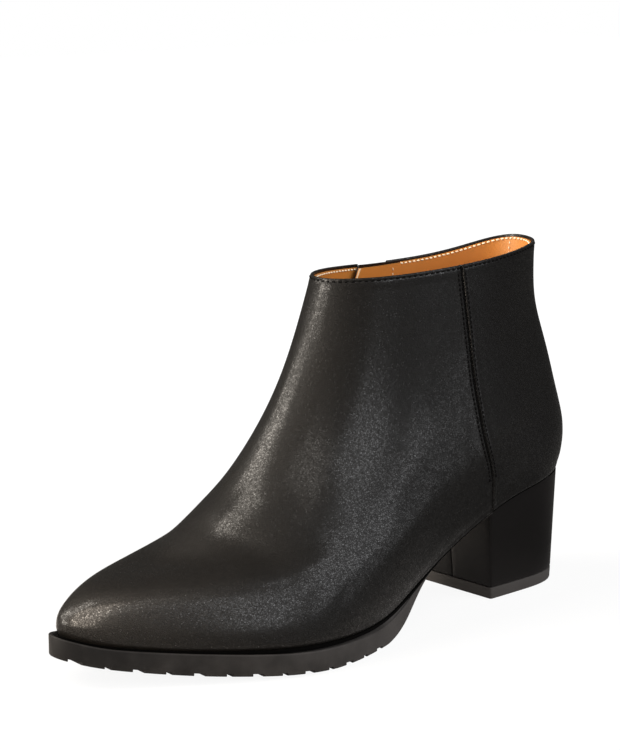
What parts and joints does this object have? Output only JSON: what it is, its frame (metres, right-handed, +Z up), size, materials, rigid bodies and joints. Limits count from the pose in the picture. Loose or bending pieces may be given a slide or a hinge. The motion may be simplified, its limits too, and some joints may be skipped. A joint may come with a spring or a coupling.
{
  "type": "ankle boot",
  "caption": "Left leather ankle boot with an almond toe, a block heel, a low ribbed rubber forefoot sole and an inner side zip whose pull tab swings.",
  "frame": {"origin": "on the floor under the middle of the boot's bounding box", "axes": "+Z up, toe towards -Y, outer (lateral) side of the foot towards +X"},
  "size_m": [0.0894, 0.257, 0.1514],
  "materials": {
    "upper_leather": "satin, fine grain",
    "sock_lining": "matt",
    "heel_cover_leather": "satin, smooth",
    "toplift_rubber": "matt",
    "sole_rubber": "matt",
    "zip_tape_cloth": "woven",
    "guard_leather": "matt",
    "zip_metal": "satin",
    "tab_metal": "satin"
  },
  "bodies": {
    "boot": {"upper": "upper_leather", "insole": "sock_lining", "heel_block": "heel_cover_leather", "heel_toplift": "toplift_rubber", "outsole": "sole_rubber", "zip_tape": "zip_tape_cloth", "zip_guard": "guard_leather", "zip_slider": "zip_metal"},
    "pull_tab": {"zip_pull_tab": "tab_metal"}
  },
  "joints": [
    {"name": "tab_swing", "type": "hinge", "parent": "boot", "child": "pull_tab", "pos_m": [-0.03912, 0.05132, 0.11966], "axis": [0.0394, 0.9851, 0.1674], "range_deg": [0, 165]}
  ]
}
